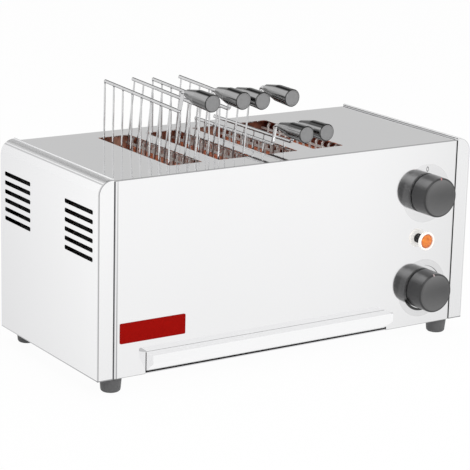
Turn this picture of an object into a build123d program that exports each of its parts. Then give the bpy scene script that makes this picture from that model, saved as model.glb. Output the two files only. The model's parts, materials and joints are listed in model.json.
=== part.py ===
from build123d import *
from math import cos, radians, sin
import os

os.makedirs("parts", exist_ok=True)

# A countertop toaster for toasted sandwiches: a steel case with four upright slots,
# quartz heating tubes between them, and three wire tongs that carry the bread.
# Millimetres. +X is the user's right, -Y the front, +Z up, and the feet stand on Z = 0.

# The case
cap_width = 19
panel_width = 462
body_depth = 230
body_height = 220
foot_height = 18
sheet = 1.0
groove = 0.6  # half the shadow gap between an end cap and the panels
cap_rise = 1.5  # the caps stand a little over the top plate
cap_round = 16.5
plate_depth = 226.5
flange = 12

# The slots in the top plate, with places measured from the front panel
slot_count = 4
slot_width = 42
slot_length = 161.4
slot_pitch = 63.6
slot_middle = 116.1
first_slot_x = -121.3

# The wire tongs, in their own frame: hinge along Y at the bottom, grids standing up
tong_count = 3
grid_height = 149
rod_radius = 2.0
wire_radius = 1.0
wire_count = 8
wire_pitch = 20.6
wire_front = -66.0
wire_offset = 1.4
rod_back = 80.0
rod_front = -83.0
rod_rise = 23.0
rise_lean = 6.0
floor_width = 21.8
hinge_rod_radius = 1.5
hinge_rod_gap = 4.0
clip_length = 6.0
handle_rear = 97.5
handle_front = 148.8
handle_radius = 9.7
grip_bore = 30.0

# How each tong hangs: inset from its slot's middle, depth, hinge height, lean, tilt and opening
tong_insets = (15.5, 13.6, 16.3)
tong_depths = (112.8, 112.8, 115.0)
tong_heights = (153.8, 151.2, 101.0)
tong_leans = (2.2, 2.2, 0.0)
tong_tilts = (-0.5, -1.3, 0.0)
tong_openings = (5.6, 5.4, 1.7)

# Controls, with heights over the case's lower edge
control_x = 187.8
timer_height = 160.2
selector_height = 44.9
lamp_x = 184.2
lamp_height = 104.8
lamp_reach = 10.5
knob_depth = 24.8
knob_gap = 1.5
dish_depth = 2.2
dish_radius = 85.0
shaft_radius = 3.0

# Crumb tray
tray_left = -190.0
tray_right = 135.0
lip_depth = 15.5
lip_top = 25.3
notch_left = -190.6
notch_right = 137.5
notch_height = 24.5

# Heating tubes and guards
tube_radius = 5.0
tube_drops = (20.0, 70.0, 120.0)
tube_start = 18.0
tube_end = 214.0
plate_front = 24.0
plate_rear = 207.0
guard_inset = 22.2
guard_wire = 2.0
guard_count = 13
guard_pitch = 12.6
rest_bar_radius = 3.0
rest_bar_spread = 31.5

# Mains inlet
gland_x = 190.0
gland_height = 40.0
gland_reach = 15.0

# The frame: the whole object, from the tong handles to the gland, is centred on Y = 0
overall_width = panel_width + 2 * cap_width
base_z = foot_height
top_z = base_z + body_height
handle_line = grid_height + rod_rise
raised_lean = radians(tong_leans[0])
handle_reach = (
    handle_front * cos(raised_lean)
    + (handle_line + handle_radius) * sin(raised_lean)
    - tong_depths[0]
)
front_y = handle_reach - (handle_reach + body_depth + gland_reach) / 2
slot_y = front_y + slot_middle
slot_xs = [first_slot_x + slot_pitch * i for i in range(slot_count)]
bank_xs = [slot_xs[0] + slot_pitch * (i - 0.5) for i in range(slot_count + 1)]
wire_ys = [wire_front + wire_pitch * i for i in range(wire_count)]


def save(builder, name):
    """Label a finished piece and write its STEP file."""
    builder.part.label = name
    export_step(builder.part, f"parts/{name}.step")


def front_plane(depth):
    """Plane parallel to the front panel, this far behind it, facing the user."""
    return Plane.XZ.offset(-(front_y + depth))


# End caps: a folded side with a rounded shoulder, open below, a large window inwards
louvre_length = 62.8
louvre_height = 5
louvre_rows = 6
louvre_pitch = 10.37
louvre_top = 185
louvre_columns = (43.8, 187.5)
with BuildPart() as left_end_cap:
    with BuildSketch(front_plane(0)) as cap_profile:
        with Locations((-overall_width / 2, base_z)):
            Rectangle(
                cap_width - groove,
                body_height + cap_rise,
                align=(Align.MIN, Align.MIN),
            )
        shoulder = cap_profile.vertices().group_by(Axis.Y)[-1].sort_by(Axis.X)
        fillet(shoulder[0], cap_round)
        fillet(shoulder[1], 1.2)
    extrude(amount=-body_depth)
    offset(amount=-sheet, openings=left_end_cap.faces().sort_by(Axis.Z)[0])
    with BuildSketch(Plane.YZ.offset(-panel_width / 2 - groove - 2 * sheet)):
        with Locations((front_y + flange, base_z)):
            Rectangle(
                body_depth - 2 * flange,
                body_height - flange - 6,
                align=(Align.MIN, Align.MIN),
            )
    extrude(amount=3 * sheet, mode=Mode.SUBTRACT)
    with BuildSketch(Plane.YZ.offset(-overall_width / 2)):
        middle_z = base_z + louvre_top - louvre_pitch * (louvre_rows - 1) / 2
        with Locations(*[(front_y + column, middle_z) for column in louvre_columns]):
            with GridLocations(louvre_length, louvre_pitch, 1, louvre_rows):
                RectangleRounded(louvre_length, louvre_height, 1.8)
    extrude(amount=2 * sheet, mode=Mode.SUBTRACT)
save(left_end_cap, "left_end_cap")

with BuildPart() as right_end_cap:
    mirror(left_end_cap.part, about=Plane.YZ)
save(right_end_cap, "right_end_cap")

# Front panel: a sheet with its two side edges bent back, holes for the controls and a
# notch for the crumb tray
control_holes = (
    (control_x, timer_height, 5.0),
    (control_x, selector_height, 5.0),
    (lamp_x, lamp_height, 5.0),
)
with BuildPart() as front_panel:
    half_front = panel_width / 2 - groove
    with BuildSketch(Plane.XY.offset(base_z)):
        with BuildLine():
            fold_line = FilletPolyline(
                (-half_front, front_y + flange),
                (-half_front, front_y),
                (half_front, front_y),
                (half_front, front_y + flange),
                radius=3,
            )
            offset(fold_line, amount=sheet, side=Side.LEFT)
        make_face()
    extrude(amount=body_height - sheet)
    with BuildSketch(front_plane(-1)):
        with Locations((notch_left, base_z)):
            Rectangle(
                notch_right - notch_left,
                notch_height,
                align=(Align.MIN, Align.MIN),
            )
        for x, height, radius in control_holes:
            with Locations((x, base_z + height)):
                Circle(radius)
    extrude(amount=-4, mode=Mode.SUBTRACT)
save(front_panel, "front_panel")

# Top plate with the four bread slots and a rear edge folded down
upper_screws = [(x, top_z - 11) for x in (-200, 0, 200)]
lower_screws = [(x, base_z + 11) for x in (-200, 0, 200)]
with BuildPart() as top_plate:
    with BuildSketch(Plane.XY.offset(top_z - sheet)):
        with Locations((0, front_y)):
            Rectangle(panel_width + 1.2, plate_depth, align=(Align.CENTER, Align.MIN))
        with Locations(*[(x, slot_y) for x in slot_xs]):
            RectangleRounded(slot_width, slot_length, 1.5, mode=Mode.SUBTRACT)
    extrude(amount=sheet)
    with BuildSketch(front_plane(plate_depth - 2 * sheet)):
        with Locations((0, top_z)):
            Rectangle(panel_width - 12, 18, align=(Align.CENTER, Align.MAX))
        with Locations(*upper_screws):
            Circle(1.9, mode=Mode.SUBTRACT)
    extrude(amount=-sheet)
save(top_plate, "top_plate")

# Back panel, set in between the caps, with the gland's hole and its screw holes
with BuildPart() as back_panel:
    with BuildSketch(front_plane(plate_depth - sheet)):
        with Locations((0, base_z)):
            Rectangle(
                panel_width - 2 * groove,
                body_height - sheet,
                align=(Align.CENTER, Align.MIN),
            )
        with Locations((gland_x, base_z + gland_height)):
            Circle(8, mode=Mode.SUBTRACT)
        with Locations(*upper_screws, *lower_screws):
            Circle(1.9, mode=Mode.SUBTRACT)
    extrude(amount=-sheet)
save(back_panel, "back_panel")

with BuildPart() as back_screws:
    with BuildSketch(front_plane(plate_depth)):
        with Locations(*upper_screws, *lower_screws):
            Circle(3.5)
    extrude(amount=-2)
    fillet(back_screws.edges().group_by(Axis.Y)[-1], 0.9)
    with BuildSketch(front_plane(plate_depth)):
        with Locations(*upper_screws, *lower_screws):
            Circle(1.75)
    extrude(amount=7)
save(back_screws, "back_screws")

# Bottom pan with upturned sides and back, on four rubber feet
foot_places = [(x, front_y + y) for x in (-225, 225) for y in (16, 214)]
foot_names = (
    "foot_front_left",
    "foot_rear_left",
    "foot_front_right",
    "foot_rear_right",
)
pan_width = panel_width + 2 * groove
pan_length = plate_depth - 2 * sheet
with BuildPart() as bottom_pan:
    with BuildSketch(Plane.XY.offset(base_z)):
        with Locations((0, front_y + flange)):
            Rectangle(pan_width, pan_length - flange, align=(Align.CENTER, Align.MIN))
        with Locations((0, front_y + sheet)):
            Rectangle(pan_width - 10, flange, align=(Align.CENTER, Align.MIN))
        with Locations(*foot_places):
            Circle(2.2, mode=Mode.SUBTRACT)
    extrude(amount=sheet)
    with BuildSketch(Plane.XY.offset(base_z)):
        for side in (-1, 1):
            with Locations((side * (pan_width - sheet) / 2, front_y + flange)):
                Rectangle(sheet, pan_length - flange, align=(Align.CENTER, Align.MIN))
    extrude(amount=16)
    with BuildSketch(front_plane(plate_depth - 2 * sheet)):
        with Locations((0, base_z)):
            Rectangle(panel_width - 12, 18, align=(Align.CENTER, Align.MIN))
        with Locations(*lower_screws):
            Circle(1.9, mode=Mode.SUBTRACT)
    extrude(amount=-sheet)
save(bottom_pan, "bottom_pan")

with BuildPart() as foot:
    with BuildSketch(Plane.XZ):
        with BuildLine():
            Polyline((2.2, foot_height), (12.5, foot_height), (10.8, 0), (4.2, 0))
            Polyline((4.2, 0), (4.2, 9), (2.2, 9), (2.2, foot_height))
        make_face()
    revolve(axis=Axis.Z)
    fillet(foot.edges().group_by(Axis.Z)[0].sort_by(SortBy.LENGTH)[-1], 3)
for place, name in zip(foot_places, foot_names):
    with BuildPart() as placed_foot:
        with Locations(place):
            add(foot.part)
    save(placed_foot, name)

with BuildPart() as foot_screw:
    with BuildSketch(Plane.XZ):
        with BuildLine():
            Polyline(
                (0, 6.2),
                (3.8, 6.2),
                (3.8, 9),
                (2.0, 9),
                (2.0, base_z + sheet),
                (3.5, base_z + sheet),
                (3.5, base_z + sheet + 3.2),
                (2.0, base_z + sheet + 3.2),
                (2.0, base_z + sheet + 5),
                (0, base_z + sheet + 5),
                close=True,
            )
        make_face()
    revolve(axis=Axis.Z)
with BuildPart() as foot_screws:
    with Locations(*foot_places):
        add(foot_screw.part)
save(foot_screws, "foot_screws")

# Crumb tray: a shallow pan, and a folded lip in front that serves as its handle
tray_floor = base_z + 3.4
tray_wall = 12
tray_back = 205
with BuildPart() as crumb_tray:
    with BuildSketch(Plane.XY.offset(tray_floor)):
        with Locations(((tray_left + tray_right) / 2, front_y - 0.4)):
            Rectangle(
                tray_right - tray_left - 3,
                tray_back + 0.4,
                align=(Align.CENTER, Align.MIN),
            )
    extrude(amount=tray_wall)
    open_sides = crumb_tray.faces().sort_by(Axis.Z)[-1]
    offset(amount=-sheet, openings=open_sides)
    with BuildSketch(Plane.YZ.offset(tray_left)):
        with BuildLine():
            outer = Polyline(
                (front_y - 0.4, tray_floor),
                (front_y - lip_depth, base_z + 15.5),
                (front_y - lip_depth, base_z + lip_top),
                (front_y - 0.4, base_z + lip_top),
            )
            offset(outer, amount=sheet, side=Side.RIGHT)
        make_face()
    extrude(amount=tray_right - tray_left)
    with BuildSketch(Plane.YZ.offset(tray_left), Plane.YZ.offset(tray_right - sheet)):
        with BuildLine():
            Polyline(
                (front_y - 0.4, tray_floor),
                (front_y - lip_depth, base_z + 15.5),
                (front_y - lip_depth, base_z + lip_top),
                (front_y - 0.4, base_z + lip_top),
                close=True,
            )
        make_face()
    extrude(amount=sheet)
save(crumb_tray, "crumb_tray")

rail_step = 2.0
with BuildPart() as tray_rails:
    for wall_x, tread_x in (
        (tray_left + 0.2, tray_left + 3.2),
        (tray_right - 0.2, tray_right - 3.2),
    ):
        with BuildSketch(Plane.XY.offset(base_z + sheet)):
            with Locations((wall_x, front_y + 14)):
                Rectangle(sheet, 195, align=(Align.CENTER, Align.MIN))
        extrude(amount=16)
        with BuildSketch(Plane.XY.offset(base_z + sheet)):
            with Locations((tread_x, front_y + 14)):
                Rectangle(7, 195, align=(Align.CENTER, Align.MIN))
        extrude(amount=rail_step)
save(tray_rails, "tray_rails")

# Toasting chamber: two element plates front and rear, a reflector on the left and a
# partition towards the controls
chamber_left = bank_xs[0] - 15
chamber_right = bank_xs[-1] + 15
chamber_floor = base_z + 30
chamber_top = top_z - sheet
tube_places = [(x, top_z - drop) for x in bank_xs for drop in tube_drops]
for depth, name in (
    (plate_front, "front_element_plate"),
    (plate_rear, "rear_element_plate"),
):
    with BuildPart() as element_plate:
        with BuildSketch(front_plane(depth)):
            with Locations((chamber_left, chamber_floor)):
                Rectangle(
                    chamber_right - chamber_left,
                    chamber_top - chamber_floor,
                    align=(Align.MIN, Align.MIN),
                )
            with Locations(*tube_places):
                Circle(tube_radius + 0.2, mode=Mode.SUBTRACT)
        extrude(amount=-sheet)
    save(element_plate, name)

for x, name in (
    (chamber_left, "left_reflector"),
    (chamber_right - sheet, "control_partition"),
):
    with BuildPart() as side_wall:
        with BuildSketch(Plane.YZ.offset(x)):
            with Locations((front_y + plate_front + sheet, chamber_floor)):
                Rectangle(
                    plate_rear - plate_front - sheet,
                    chamber_top - chamber_floor,
                    align=(Align.MIN, Align.MIN),
                )
        extrude(amount=sheet)
    save(side_wall, name)

# Quartz tubes, three to each bank, with the wound heating element inside each one
for number, x in enumerate(bank_xs, start=1):
    with BuildPart() as quartz_tubes:
        with BuildSketch(front_plane(tube_start)):
            with Locations(*[(x, top_z - drop) for drop in tube_drops]):
                Circle(tube_radius)
                Circle(tube_radius - 1, mode=Mode.SUBTRACT)
        extrude(amount=tube_start - tube_end)
    save(quartz_tubes, f"quartz_tubes_{number}")

with BuildPart() as heating_coils:
    with BuildSketch(front_plane(tube_start)):
        with Locations(*tube_places):
            Circle(3)
    extrude(amount=tube_start - tube_end)
save(heating_coils, "heating_coils")

with BuildPart() as ceramic_caps:
    for start, end in ((tube_start - 4, plate_front), (plate_rear + sheet, tube_end + 4)):
        with BuildSketch(front_plane(start)):
            with Locations(*tube_places):
                Circle(6.5)
        extrude(amount=start - end)
    with BuildSketch(front_plane(tube_start)):
        with Locations(*tube_places):
            Circle(tube_radius)
    extrude(amount=tube_start - tube_end, mode=Mode.SUBTRACT)
save(ceramic_caps, "ceramic_caps")

# Wire guards that keep the bread off the tubes. Their tops flare outwards under the
# plate so that a tong finds its way in.
guard_top = top_z - sheet - 1
guard_bottom = top_z - 150
with BuildPart() as guard_wires:
    with BuildSketch(front_plane(slot_middle)):
        with BuildLine():
            wire_line = Polyline(
                (3, guard_top),
                (0, guard_top - 3.5),
                (0, guard_bottom),
            )
            offset(wire_line, amount=guard_wire, side=Side.LEFT)
        make_face()
    extrude(amount=guard_wire / 2, both=True)
with BuildPart() as guard:
    with GridLocations(1, guard_pitch, 1, guard_count):
        add(guard_wires.part)
    for z in (guard_top - 9, guard_bottom + 2):
        with BuildSketch(front_plane(plate_front + sheet)):
            with Locations((guard_wire, z)):
                Rectangle(2.4, 2.4)
        extrude(amount=plate_front + sheet - plate_rear)
for number, x in enumerate(slot_xs, start=1):
    with BuildPart() as slot_guards:
        with Locations((x + guard_inset - guard_wire / 2, 0)):
            add(guard.part)
        mirror(slot_guards.part, about=Plane.YZ.offset(x))
    save(slot_guards, f"slot_guards_{number}")

# Two bars across the chamber, on which the lowered tongs stand
bar_top = tong_heights[-1] - hinge_rod_radius - 0.3
with BuildPart() as tong_rest_bars:
    with BuildSketch(Plane.YZ.offset(chamber_left + sheet)):
        for spread in (-rest_bar_spread, rest_bar_spread):
            with Locations((slot_y + spread, bar_top - rest_bar_radius)):
                Circle(rest_bar_radius)
    extrude(amount=chamber_right - chamber_left - 2 * sheet)
save(tong_rest_bars, "tong_rest_bars")


# The rod along a grid's top turns up and forwards into the handle
with BuildPart() as top_rod:
    with BuildLine(Plane.YZ) as rod_line:
        FilletPolyline(
            (rod_back, grid_height),
            (rod_front, grid_height),
            (rod_front - rise_lean, handle_line),
            (-handle_rear - grip_bore, handle_line),
            radius=5,
        )
    with BuildSketch(Plane(rod_line.line @ 0, z_dir=rod_line.line % 0)):
        Circle(rod_radius)
    sweep(path=rod_line.line)

# The straight rod along a grid's foot
with BuildPart() as foot_rod:
    with BuildSketch(Plane.XZ.offset(-rod_back)):
        Circle(hinge_rod_radius)
    extrude(amount=rod_back - wire_front + 4)

# The left grid of a tong. Its wires turn at the foot to form the floor for the bread.
with BuildPart() as floor_wire:
    with BuildLine(Plane.XZ) as wire_path:
        FilletPolyline(
            (-wire_offset, grid_height + 1.2),
            (-wire_offset, 0),
            (floor_width - hinge_rod_gap, 0),
            radius=4,
        )
    with BuildSketch(Plane(wire_path.line @ 0, z_dir=wire_path.line % 0)):
        Circle(wire_radius)
    sweep(path=wire_path.line)
with BuildPart() as left_grid:
    add(top_rod.part)
    with Locations((floor_width - hinge_rod_gap, 0, 0)):
        add(foot_rod.part)
    with Locations(*[(0, y, 0) for y in wire_ys]):
        add(floor_wire.part)

# The right grid swings on its own foot rod, so its frame has its origin there
with BuildPart() as right_grid:
    add(top_rod.part)
    add(foot_rod.part)
    with BuildSketch(Plane.XY):
        with Locations(*[(wire_offset, y) for y in wire_ys]):
            Circle(wire_radius)
    extrude(amount=grid_height + 1.2)

# Two links hold the foot rods together and let the right grid swing
clip_ys = [y + wire_pitch / 2 for y in (wire_ys[0], wire_ys[-2])]
with BuildPart() as hinge_clips:
    for y in clip_ys:
        with BuildSketch(Plane.XZ.offset(-y - clip_length / 2)):
            with Locations((floor_width - hinge_rod_gap / 2, 0)):
                SlotCenterToCenter(hinge_rod_gap, 6.4)
            with Locations((floor_width - hinge_rod_gap, 0)):
                Circle(hinge_rod_radius, mode=Mode.SUBTRACT)
            with Locations((floor_width, 0)):
                Circle(hinge_rod_radius + 0.3, mode=Mode.SUBTRACT)
        extrude(amount=clip_length)

# Handle: a turned grip that narrows to the wire, with a shallow rim round its end face
with BuildPart() as handle:
    with BuildSketch(Plane.YZ):
        with BuildLine():
            Polyline(
                (-handle_rear, 0),
                (-handle_rear, 3.6),
                (-handle_rear - 1.4, 4.8),
                (-handle_rear - 25, handle_radius - 0.5),
                (-handle_front + 0.8, handle_radius),
                (-handle_front, handle_radius - 0.8),
                (-handle_front, handle_radius - 1.8),
                (-handle_front + 0.5, handle_radius - 2.2),
                (-handle_front + 0.5, 0),
                close=True,
            )
        make_face()
    revolve(axis=Axis.Y)
    with BuildSketch(Plane.XZ.offset(handle_rear)):
        Circle(rod_radius)
    extrude(amount=grip_bore, mode=Mode.SUBTRACT)

# The three tongs, each hung in its slot
for index in range(tong_count):
    hang = Location(
        (
            slot_xs[index] - tong_insets[index],
            front_y + tong_depths[index],
            tong_heights[index],
        ),
        (tong_leans[index], tong_tilts[index], 0),
    )
    swing = hang * Location((floor_width, 0, 0), (0, tong_openings[index], 0))
    grip = Location((0, 0, handle_line))
    for place, piece, name in (
        (hang, left_grid, "left_grid"),
        (swing, right_grid, "right_grid"),
        (hang, hinge_clips, "clips"),
        (hang * grip, handle, "left_handle"),
        (swing * grip, handle, "right_handle"),
    ):
        with BuildPart() as tong_piece:
            with Locations(place):
                add(piece.part)
        save(tong_piece, f"tong_{index + 1}_{name}")


# Controls: a timer and a selector switch behind the panel, each with a shaft and a knob
def build_knob(height, name):
    """Build a knob with a dished face and a blind bore for its shaft."""
    with BuildPart() as knob:
        with BuildSketch(Plane.YZ):
            with BuildLine():
                Polyline(
                    (0, 0),
                    (0, 22.8),
                    (-1.2, 23.7),
                    (-knob_depth, 23.4),
                    (-knob_depth, 0),
                    close=True,
                )
            make_face()
        revolve(axis=Axis.Y)
        with Locations((0, dish_depth - knob_depth - dish_radius, 0)):
            Sphere(dish_radius, mode=Mode.SUBTRACT)
        front_edges = knob.edges().group_by(Axis.Y)[0]
        fillet(front_edges.sort_by(SortBy.LENGTH)[-1], 1.6)
        with BuildSketch(Plane.XZ):
            Circle(shaft_radius)
        extrude(amount=17, mode=Mode.SUBTRACT)
    with BuildPart() as placed_knob:
        with Locations((control_x, front_y - knob_gap, base_z + height)):
            add(knob.part)
    save(placed_knob, name)


def build_shaft(height, name):
    """Build the round shaft from the knob's bore into the switch body."""
    with BuildPart() as shaft:
        with BuildSketch(front_plane(-knob_gap - 17)):
            with Locations((control_x, base_z + height)):
                Circle(shaft_radius)
        extrude(amount=-(17 + knob_gap + 14))
    save(shaft, name)


def build_switch_body(height, width, tall, deep, name):
    """Build a switch body with a threaded neck that clamps it behind the panel."""
    with BuildPart() as switch_body:
        with BuildSketch(front_plane(6)):
            with Locations((control_x, base_z + height)):
                RectangleRounded(width, tall, 3)
        extrude(amount=-deep)
        with BuildSketch(front_plane(sheet)):
            with Locations((control_x, base_z + height)):
                Circle(8)
        extrude(amount=sheet - 6)
        with BuildSketch(front_plane(6 + deep)):
            with Locations((control_x, base_z + height)):
                with GridLocations(width / 2, tall / 2, 2, 2):
                    Rectangle(6.3, 0.8)
        extrude(amount=-8)
        with BuildSketch(front_plane(0)):
            with Locations((control_x, base_z + height)):
                Circle(shaft_radius + 0.4)
        extrude(amount=-16, mode=Mode.SUBTRACT)
    save(switch_body, name)


build_knob(timer_height, "timer_knob")
build_shaft(timer_height, "timer_shaft")
build_switch_body(timer_height, 56, 52, 34, "timer_body")
build_knob(selector_height, "selector_knob")
build_shaft(selector_height, "selector_shaft")
build_switch_body(selector_height, 42, 44, 40, "selector_body")

# Signal lamp: dark barrel through the panel, a pale cup and a faceted lens
cup_depth = 3.0
lens_seat = 2.2
with BuildPart() as lamp_body:
    with BuildSketch(front_plane(cup_depth - lamp_reach)):
        with Locations((lamp_x, base_z + lamp_height)):
            Circle(4.6)
    extrude(amount=cup_depth - lamp_reach - sheet)
    with BuildSketch(front_plane(sheet)):
        with Locations((lamp_x, base_z + lamp_height)):
            Circle(7.5)
    extrude(amount=-25)
save(lamp_body, "lamp_body")

with BuildPart() as lamp_ring:
    with BuildSketch(front_plane(cup_depth - lamp_reach)):
        with Locations((lamp_x, base_z + lamp_height)):
            Circle(10.9)
    extrude(amount=cup_depth)
    fillet(lamp_ring.edges().group_by(Axis.Y)[0], 0.8)
    with BuildSketch(front_plane(-lamp_reach)):
        with Locations((lamp_x, base_z + lamp_height)):
            Circle(8.8)
    extrude(amount=-lens_seat, mode=Mode.SUBTRACT)
save(lamp_ring, "lamp_ring")

with BuildPart() as lamp_lens:
    with BuildSketch(front_plane(lens_seat - lamp_reach)):
        with Locations((lamp_x, base_z + lamp_height)):
            RegularPolygon(8.7, 12)
    extrude(amount=2.6, taper=12)
save(lamp_lens, "lamp_lens")

# Mains inlet: terminal block on the pan, cable gland through the back
with BuildPart() as terminal_block:
    with BuildSketch(Plane.XY.offset(base_z + sheet)):
        with Locations((gland_x, front_y + 180)):
            Rectangle(36, 18)
    extrude(amount=16)
    with BuildSketch(Plane.XY.offset(base_z + sheet + 16)):
        with Locations((gland_x, front_y + 180)):
            with GridLocations(11, 9, 3, 2):
                Circle(2.6)
    extrude(amount=-9, mode=Mode.SUBTRACT)
save(terminal_block, "terminal_block")

gland_place = (gland_x, 0, base_z + gland_height)
gland_end = body_depth + gland_reach
with BuildPart() as gland_turning:
    with BuildSketch(Plane.YZ):
        with BuildLine():
            gland_tip = Polyline(
                (plate_depth - 7, 4),
                (plate_depth - 7, 7.8),
                (plate_depth, 7.8),
                (plate_depth, 12),
                (plate_depth + 4, 12),
                (plate_depth + 5, 10.5),
                (gland_end - 4, 10.5),
                (gland_end, 7),
                (gland_end, 4),
                close=True,
            )
        make_face()
    revolve(axis=Axis.Y)
with BuildPart() as cable_gland:
    with Locations((gland_x, front_y, base_z + gland_height)):
        add(gland_turning.part)
save(cable_gland, "cable_gland")

with BuildPart() as gland_nut:
    with BuildSketch(front_plane(plate_depth - sheet)):
        with Locations((gland_x, base_z + gland_height)):
            RegularPolygon(12, 6)
            Circle(7.8, mode=Mode.SUBTRACT)
    extrude(amount=5)
save(gland_nut, "gland_nut")

print("front panel at Y", round(front_y, 3), "handle reach", round(handle_reach, 3))
print("slot middles X", [round(x, 2) for x in slot_xs], "Y", round(slot_y, 3))
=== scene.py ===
import json
import math

import bpy
from mathutils import Matrix, Vector


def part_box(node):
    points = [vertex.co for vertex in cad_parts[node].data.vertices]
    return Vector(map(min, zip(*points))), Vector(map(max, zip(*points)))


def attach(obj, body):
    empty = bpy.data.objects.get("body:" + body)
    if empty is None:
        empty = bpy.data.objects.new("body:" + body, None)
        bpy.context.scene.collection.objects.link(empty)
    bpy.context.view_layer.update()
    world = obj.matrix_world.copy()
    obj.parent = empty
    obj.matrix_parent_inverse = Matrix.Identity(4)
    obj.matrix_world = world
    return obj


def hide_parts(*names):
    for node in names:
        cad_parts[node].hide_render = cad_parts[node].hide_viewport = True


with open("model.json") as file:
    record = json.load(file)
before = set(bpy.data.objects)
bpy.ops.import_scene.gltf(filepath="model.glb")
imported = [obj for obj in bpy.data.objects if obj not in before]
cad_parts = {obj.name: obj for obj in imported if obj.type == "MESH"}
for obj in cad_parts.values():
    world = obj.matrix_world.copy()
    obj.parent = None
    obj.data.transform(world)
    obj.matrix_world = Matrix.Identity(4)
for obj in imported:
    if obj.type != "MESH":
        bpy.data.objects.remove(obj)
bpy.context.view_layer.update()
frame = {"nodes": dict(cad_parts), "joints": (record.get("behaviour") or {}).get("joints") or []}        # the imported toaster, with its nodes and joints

nodes = frame["nodes"]
panelLow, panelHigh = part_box("front_panel")
plateLow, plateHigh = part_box("top_plate")
print("frame loaded", len(nodes), "nodes")


# Shader helpers

class Socket:
    # one output socket, so that shader maths can be written as a sum
    def __init__(self, shade, link):
        self.shade = shade
        self.link = link

    def __add__(self, other):
        return self.shade.maths("ADD", self, other)

    def __radd__(self, other):
        return self.shade.maths("ADD", other, self)

    def __sub__(self, other):
        return self.shade.maths("SUBTRACT", self, other)

    def __rsub__(self, other):
        return self.shade.maths("SUBTRACT", other, self)

    def __mul__(self, other):
        return self.shade.maths("MULTIPLY", self, other)

    def __rmul__(self, other):
        return self.shade.maths("MULTIPLY", other, self)

    def __truediv__(self, other):
        return self.shade.maths("DIVIDE", self, other)

    def __rtruediv__(self, other):
        return self.shade.maths("DIVIDE", other, self)

    def __pow__(self, other):
        return self.shade.maths("POWER", self, other)


class Shade:
    # the node tree of one material or of the world
    def __init__(self, owner):
        self.owner = owner
        owner.use_nodes = True
        self.tree = owner.node_tree
        self.tree.nodes.clear()

    def node(self, kind, settings=None, links=None, out=0):
        made = self.tree.nodes.new(kind)
        for key, value in (settings or {}).items():
            if key == "stops":
                ramp = made.color_ramp
                while len(ramp.elements) < len(value):
                    ramp.elements.new(0.5)
                for element, (place, colour) in zip(ramp.elements, value):
                    element.position = place
                    element.color = (*colour, 1.0)
            else:
                setattr(made, key, value)
        for key, value in (links or {}).items():
            if isinstance(value, Socket):
                self.tree.links.new(value.link, made.inputs[key])
            elif made.inputs[key].type == "RGBA":
                made.inputs[key].default_value = (*value[:3], 1.0)
            else:
                made.inputs[key].default_value = value
        return Socket(self, made.outputs[out]) if made.outputs else None

    def maths(self, operation, *values):
        return self.node("ShaderNodeMath", {"operation": operation}, dict(enumerate(values)))

    def size(self, value):
        return self.maths("ABSOLUTE", value)

    def near(self, value, half, soft=0.0002):
        # 1 where the value is within half of zero, with a soft edge
        return self.clip((half - self.size(value)) / soft + 0.5)

    def past(self, value, soft=0.0002):
        # 0 up to zero, and 1 once the value is soft or more past it
        return self.clip(value / soft)

    def clip(self, value):
        return self.node("ShaderNodeClamp", {}, {"Value": value, "Min": 0.0, "Max": 1.0})

    def mix(self, factor, first, second):
        return self.node("ShaderNodeMix", {"data_type": "RGBA"}, {0: factor, 6: first, 7: second}, 2)

    def place(self):
        # Object coordinates, which are metres in the shared frame
        return self.node("ShaderNodeTexCoord", out=3)

    def rays(self):
        # camera, glossy and transmission rays
        return [self.node("ShaderNodeLightPath", out=out) for out in (0, 3, 6)]

    def split(self, vector):
        return [self.node("ShaderNodeSeparateXYZ", {}, {0: vector}, out) for out in range(3)]

    def stretched(self, vector, scale):
        # a place or a colour, times a number for each of its parts
        return self.node("ShaderNodeVectorMath", {"operation": "MULTIPLY"}, {0: vector, 1: scale})

    def noise(self, vector, scale, detail=2.0, rough=0.5):
        links = {"Vector": vector, "Scale": scale, "Detail": detail, "Roughness": rough}
        return self.node("ShaderNodeTexNoise", {}, links)

    def bump(self, height, strength, distance):
        links = {"Height": height, "Strength": strength, "Distance": distance}
        return self.node("ShaderNodeBump", {}, links)

    def surface(self, **links):
        named = {key.replace("_", " "): value for key, value in links.items()}
        shader = self.node("ShaderNodeBsdfPrincipled", {}, named)
        self.node("ShaderNodeOutputMaterial", {}, {"Surface": shader})
        return self.owner


def newShade(name):
    return Shade(bpy.data.materials.new(name))


def middleOf(low, high):
    return [(a + b) / 2 for a, b in zip(low, high)]


# Finishes

def satinSteel(name, tone, along, roughness):
    depth, contrast, blotch = 0.05, 0.03, 0.05
    shade = newShade(name)
    place = shade.place()
    grain = shade.noise(shade.stretched(place, along), 1.0, 3.0, 0.6)
    cloud = shade.noise(place, 9.0, 2.0)
    dull = [c * (1.0 - contrast) for c in tone]
    bright = [min(1.0, c * (1.0 + contrast)) for c in tone]
    return shade.surface(
        Base_Color=shade.mix(grain, dull, bright),
        Metallic=1.0,
        Roughness=roughness + (grain - 0.5) * contrast * 2.0 + (cloud - 0.5) * blotch,
        Normal=shade.bump(grain, depth, 0.0002),
    )


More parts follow.
